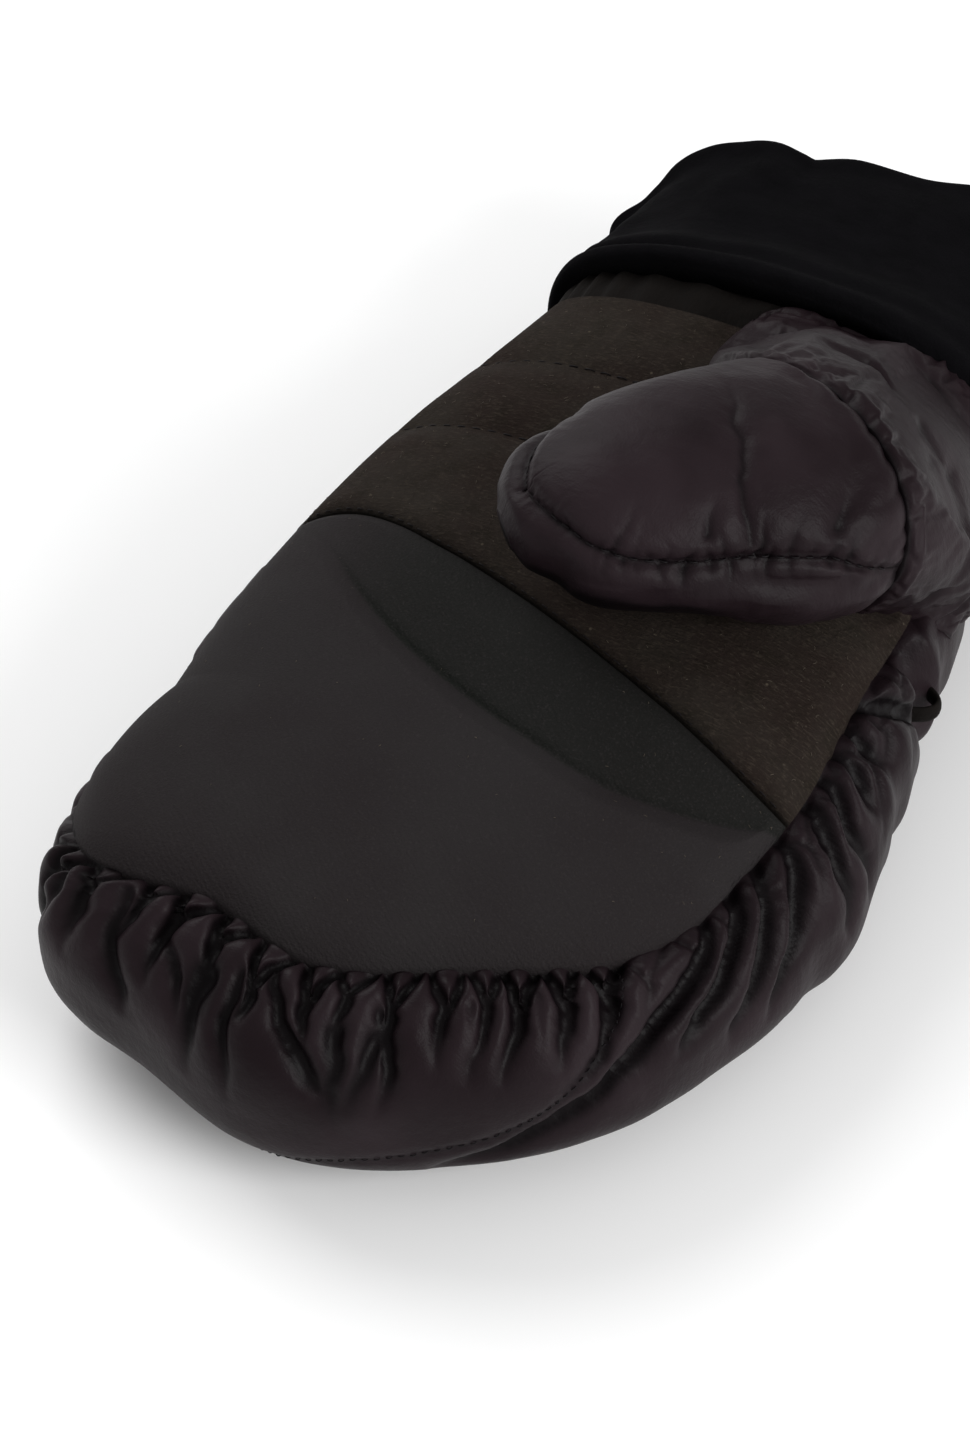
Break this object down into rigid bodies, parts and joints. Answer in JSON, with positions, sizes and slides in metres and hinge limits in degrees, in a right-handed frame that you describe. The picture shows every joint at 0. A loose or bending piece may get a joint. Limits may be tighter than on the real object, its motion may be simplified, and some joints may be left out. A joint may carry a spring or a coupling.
{
  "type": "padded winter mitten",
  "caption": "Padded winter mitten with a quilted nylon back gathered round the fingertips, a felt palm, a softshell finger patch, a nylon thumb and a knit cuff",
  "frame": {"origin": "centre of the bounding box in plan, at the surface that the back of the hand rests on", "axes": "+Y from the fingertips to the cuff, +Z out of the palm, +X towards the thumb's side"},
  "size_m": [0.1366, 0.2732, 0.0909],
  "materials": {
    "shell_nylon": "soft sheen",
    "palm_felt": "matte",
    "finger_softshell": "matte",
    "cuff_knit": "matte",
    "band_elastic": "matte"
  },
  "bodies": {
    "root": {"back_shell": "shell_nylon", "palm_panel": "palm_felt", "finger_panel": "finger_softshell", "thumb_top": "shell_nylon", "thumb_under": "shell_nylon", "thumb_heel": "shell_nylon", "cuff": "cuff_knit", "wrist_band": "band_elastic", "side_tab": "band_elastic"}
  },
  "joints": []
}
